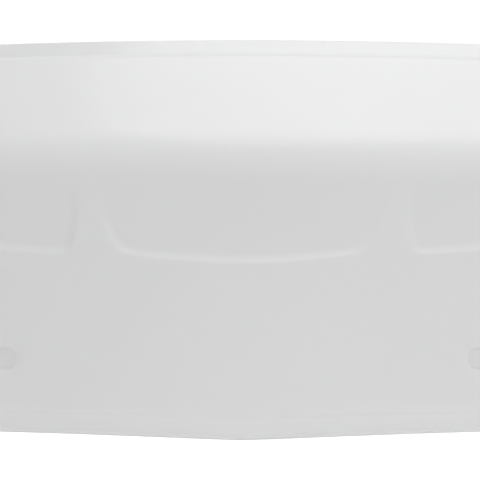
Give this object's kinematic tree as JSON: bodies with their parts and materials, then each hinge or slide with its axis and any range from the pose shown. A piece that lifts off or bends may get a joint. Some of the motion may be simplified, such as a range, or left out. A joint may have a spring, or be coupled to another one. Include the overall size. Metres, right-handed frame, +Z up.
{
  "type": "bedpan",
  "caption": "White wedge-shaped hospital bedpan with a lift-out bowl, a fitted lid and a folding lid handle.",
  "frame": {"origin": "on the ground, under the middle of the pan's outline", "axes": "+Z up, -Y towards the high front end, +X to the right when looking at the front end"},
  "size_m": [0.3032, 0.3846, 0.1028],
  "materials": {
    "shell_white": "satin",
    "seat_white": "satin",
    "lid_white": "satin",
    "handle_white": "satin",
    "bowl_white": "smooth",
    "tray_white": "fine texture",
    "seal_grey": "matte",
    "foot_grey": "matte",
    "screw_steel": "plain",
    "pin_steel": "polished"
  },
  "bodies": {
    "pan": {"pan_shell": "shell_white", "seat_top": "seat_white", "joint_seal": "seal_grey", "base_tray": "tray_white", "tray_screws": "screw_steel", "foot_front_left": "foot_grey", "foot_front_right": "foot_grey", "foot_back_left": "foot_grey", "foot_back_right": "foot_grey"},
    "bowl_body": {"bowl": "bowl_white"},
    "lid_body": {"lid": "lid_white", "lid_seal": "seal_grey", "handle_pin_left": "pin_steel", "handle_pin_right": "pin_steel"},
    "handle_body": {"lid_handle": "handle_white"}
  },
  "joints": [
    {"name": "bowl_lift", "type": "slide", "parent": "pan", "child": "bowl_body", "axis": [0, 0.0628, 0.998], "range_m": [0, 0.12]},
    {"name": "lid_lift", "type": "slide", "parent": "bowl_body", "child": "lid_body", "axis": [0, 0.0628, 0.998], "range_m": [0, 0.1]},
    {"name": "handle_fold", "type": "hinge", "parent": "lid_body", "child": "handle_body", "pos_m": [0, 0.00264, 0.08101], "axis": [-1, 0, 0], "range_deg": [0, 90]}
  ]
}
